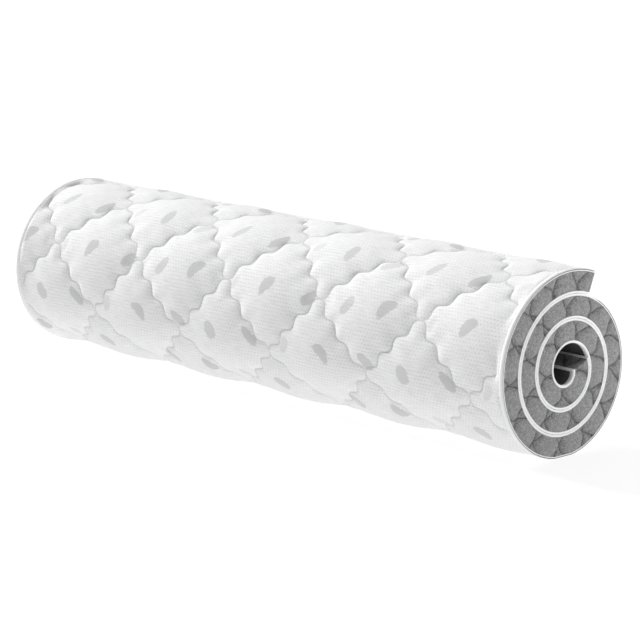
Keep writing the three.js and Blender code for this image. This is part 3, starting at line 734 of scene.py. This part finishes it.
# Both tapes run round the mattress alike: along one end, across the inner end, back, and across the flap.
long_shares = np.linspace(0, 1, round(LENGTH / TAPE_STEP))
wide_shares = np.linspace(-1, 1, TAPE_WIDE_PLACES)[1:-1]
tape_x = np.concatenate([0 * long_shares + 1, wide_shares[::-1], 0 * long_shares - 1, wide_shares])
tape_share = np.concatenate([long_shares, 0 * wide_shares + 1, long_shares[::-1], 0 * wide_shares])
steps_round = np.hypot(WIDTH / 2 * np.diff(tape_x, append=tape_x[0]),
                       LENGTH * np.diff(tape_share, append=tape_share[0]))
round_along = np.concatenate([[0], np.cumsum(steps_round)[:-1]])
count = len(tape_x)
# The bottom tape is the top one's mirror image across the mattress's thickness.
BOTTOM_TAPE_DEPTH = THICKNESS - PANEL_DEPTH
for name, node, tape_depth, mirrored in (("top_tape", "top_binding_tape", 0.0, False),
                                         ("bottom_tape", "bottom_binding_tape", BOTTOM_TAPE_DEPTH, True)):
    free = tape_share * WOUND - (WOUND - LAST_OPEN) if mirrored else LAST_OPEN - tape_share * WOUND
    openness = smooth_step(free, OPENING)
    groove_open = 0 * openness if mirrored else openness
    places, layout, grooved = [], [], []
    section_at = 0
    before = tape_section[-1]
    for inset, below in tape_section:
        section_at += math.hypot(inset - before[0], below - before[1]) * MM
        before = (inset, below)
        in_groove = GROOVE[0] < below < GROOVE[1]
        pinch = CLOSED_GROOVE + (1 - CLOSED_GROOVE) * groove_open if in_groove else np.ones(count)
        row_inset = inset * MM * pinch
        row_below = below * (1 + SWELL * openness) if below < 0 else below + 0 * openness
        row_depth = tape_depth + (PANEL_DEPTH / MM - row_below if mirrored else row_below) * MM
        first_wound = row_inset / (OUTER_RADIUS - row_depth)
        last_wound = end_wound(row_inset * (SHORT_FOLD if mirrored else 1), row_depth)
        places.append(roll_up(tape_x * (WIDTH / 2 - row_inset),
                              first_wound + tape_share * (last_wound - first_wound), row_depth))
        layout.append(np.stack([round_along, np.full(count, section_at)], axis=1))
        grooved.append(groove_open * in_groove)
    faces = []
    for k in range(len(tape_section)):
        here, after = k * count, (k + 1) % len(tape_section) * count
        for i in range(count):
            j = (i + 1) % count
            faces.append((here + i, here + j, after + j, after + i))
    tape = make_piece(name, np.concatenate(places), faces, np.concatenate(layout), np.concatenate(grooved))
    finish_surface(tape, sharp_degrees=50)
    tape.data.materials.append(white_tape)
    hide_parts(node)
    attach(tape, "root")

# The floor, the lights and the camera.
bpy.ops.object.select_all(action="DESELECT")
bpy.ops.mesh.primitive_plane_add(size=60, location=(0, 0, -0.5 * MM))
floor = bpy.context.object
floor.name = "floor"
paper = bpy.data.materials.new("pale_paper")
paper.use_nodes = True
shader = paper.node_tree.nodes["Principled BSDF"]
shader.inputs["Base Color"].default_value = linear("#949494")
shader.inputs["Roughness"].default_value = 0.9
shader.inputs["Emission Color"].default_value = (1, 1, 1, 1)
shader.inputs["Emission Strength"].default_value = 0.77
floor.data.materials.append(paper)

# Behind the floor stands a white backdrop that is seen but casts no light and no shadow.
bpy.ops.mesh.primitive_uv_sphere_add(segments=48, ring_count=24, radius=28, location=(0, 0, 0))
backdrop = bpy.context.object
backdrop.name = "backdrop"
backdrop.visible_diffuse = False
backdrop.visible_glossy = False
backdrop.visible_transmission = False
backdrop.visible_shadow = False
white_paper = bpy.data.materials.new("white_paper")
white_paper.use_nodes = True
shader = white_paper.node_tree.nodes["Principled BSDF"]
shader.inputs["Emission Color"].default_value = (1, 1, 1, 1)
shader.inputs["Emission Strength"].default_value = 1
backdrop.data.materials.append(white_paper)

world = bpy.data.worlds.new("studio")
bpy.context.scene.world = world
world.use_nodes = True
world.node_tree.nodes["Background"].inputs["Color"].default_value = (1, 1, 1, 1)
world.node_tree.nodes["Background"].inputs["Strength"].default_value = 0.11
bpy.context.scene.view_settings.view_transform = "Standard"
# The key light comes low along the roll from its far end, so that it grazes the quilting, and a wide light
# from straight above fills its shadows. A small lamp off the near end lights the border from one side, and a
# weak one lifts the far end.
studio_lights = (
    # name, kind, place, the direction it shines from, its size, which for a sun is an angle, and its strength
    ("key", "SUN", (0, 0, 3), (-0.85, -0.08, 0.52), math.radians(20), 3.4),
    ("overhead", "SUN", (0, 0, 3), (0, 0, 1), math.radians(100), 1.05),
    ("end_lamp", "AREA", (1.8, 0.7, 0.5), (1.0, 0.7, 0.3), 0.4, 6.5),
    ("far_lamp", "AREA", (-1.7, -1.3, 0.9), (-1.0, -1.1, 0.7), 0.6, 1.6),
)
for name, kind, place, shines_from, size, strength in studio_lights:
    bpy.ops.object.light_add(type=kind, location=place)
    lamp = bpy.context.object
    lamp.name = name
    setattr(lamp.data, "angle" if kind == "SUN" else "size", size)
    lamp.data.energy = strength
    lamp.rotation_mode = "QUATERNION"
    lamp.rotation_quaternion = Vector(shines_from).to_track_quat("Z", "Y")

# The camera's place, direction and lens are the ones fitted to the photo.
CAMERA_PLACE = Vector((4.484, -4.195 + AXIS_Y, 1.299 + AXIS_Z))
CAMERA_AZIMUTH = math.radians(46.526)
CAMERA_ELEVATION = math.radians(12.112)
camera_data = bpy.data.cameras.new("camera")
camera = bpy.data.objects.new("camera", camera_data)
bpy.context.collection.objects.link(camera)
camera.location = CAMERA_PLACE
back = Vector((math.sin(CAMERA_AZIMUTH) * math.cos(CAMERA_ELEVATION),
               -math.cos(CAMERA_AZIMUTH) * math.cos(CAMERA_ELEVATION), math.sin(CAMERA_ELEVATION)))
camera.rotation_mode = "QUATERNION"
camera.rotation_quaternion = (-back).to_track_quat("-Z", "Y")
camera_data.sensor_width = 36
camera_data.lens = 156.27
camera_data.clip_end = 100
bpy.context.scene.camera = camera
